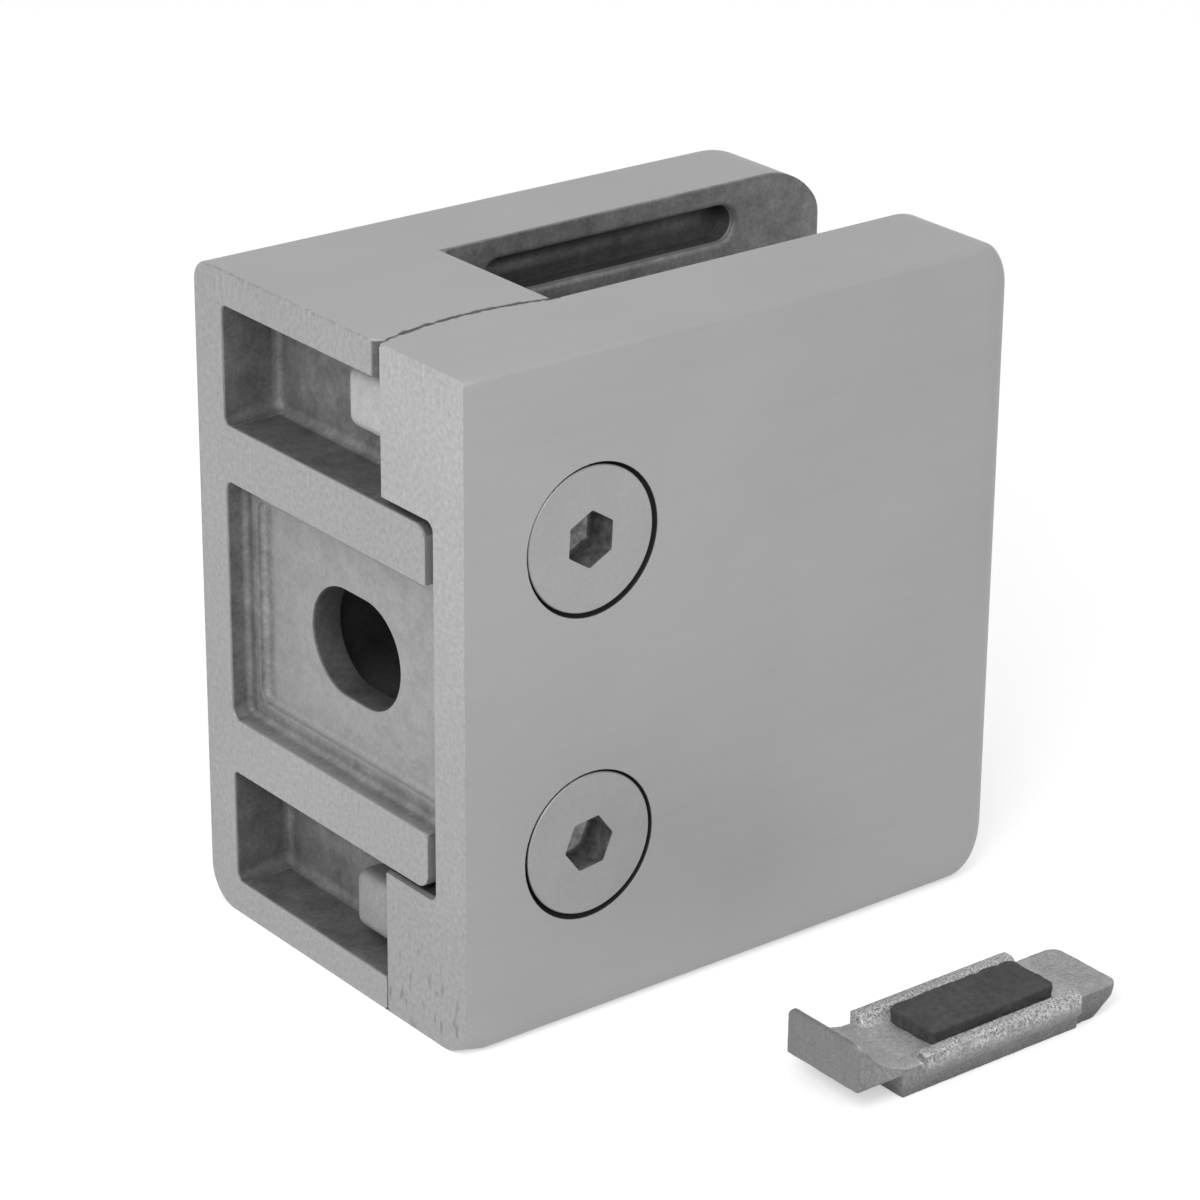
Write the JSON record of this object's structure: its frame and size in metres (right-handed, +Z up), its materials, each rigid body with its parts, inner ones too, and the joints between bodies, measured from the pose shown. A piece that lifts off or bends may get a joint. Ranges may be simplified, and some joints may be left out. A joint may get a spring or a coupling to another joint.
{
  "type": "glass railing clamp",
  "caption": "square cast glass clamp for a flat railing post, with a screwed front cover, inlay grooves, slotted bolt hole and a loose safety plate with rubber pad",
  "frame": {"origin": "centre of the post face, on the axis of the mounting bolt", "axes": "+X runs away from the post along the glass, -Y is the screw side, +Z is up"},
  "size_m": [0.055, 0.0596, 0.055],
  "materials": {
    "cast_zinc": "satin",
    "screw_steel": "satin",
    "pad_rubber": "matte"
  },
  "bodies": {
    "clamp": {"clamp_body": "cast_zinc", "safety_plate": "cast_zinc", "plate_pad": "pad_rubber"},
    "cover": {"clamp_cover": "cast_zinc"},
    "screw_upper": {"upper_screw": "screw_steel"},
    "screw_lower": {"lower_screw": "screw_steel"}
  },
  "joints": [
    {"name": "cover_slide", "type": "slide", "parent": "clamp", "child": "cover", "axis": [0, -1, 0], "range_m": [0, 0.01]},
    {"name": "upper_screw_turn", "type": "hinge", "parent": "cover", "child": "screw_upper", "pos_m": [0.0118, -0.0175, 0.0125], "axis": [0, -1, 0], "range_deg": [0, 3600]},
    {"name": "lower_screw_turn", "type": "hinge", "parent": "cover", "child": "screw_lower", "pos_m": [0.0118, -0.0175, -0.0125], "axis": [0, -1, 0], "range_deg": [0, 3600]}
  ],
  "couplings": [
    {"joint": "upper_screw_turn", "follows": "cover_slide", "rad_per_m": 6283.2},
    {"joint": "lower_screw_turn", "follows": "cover_slide", "rad_per_m": 6283.2}
  ]
}
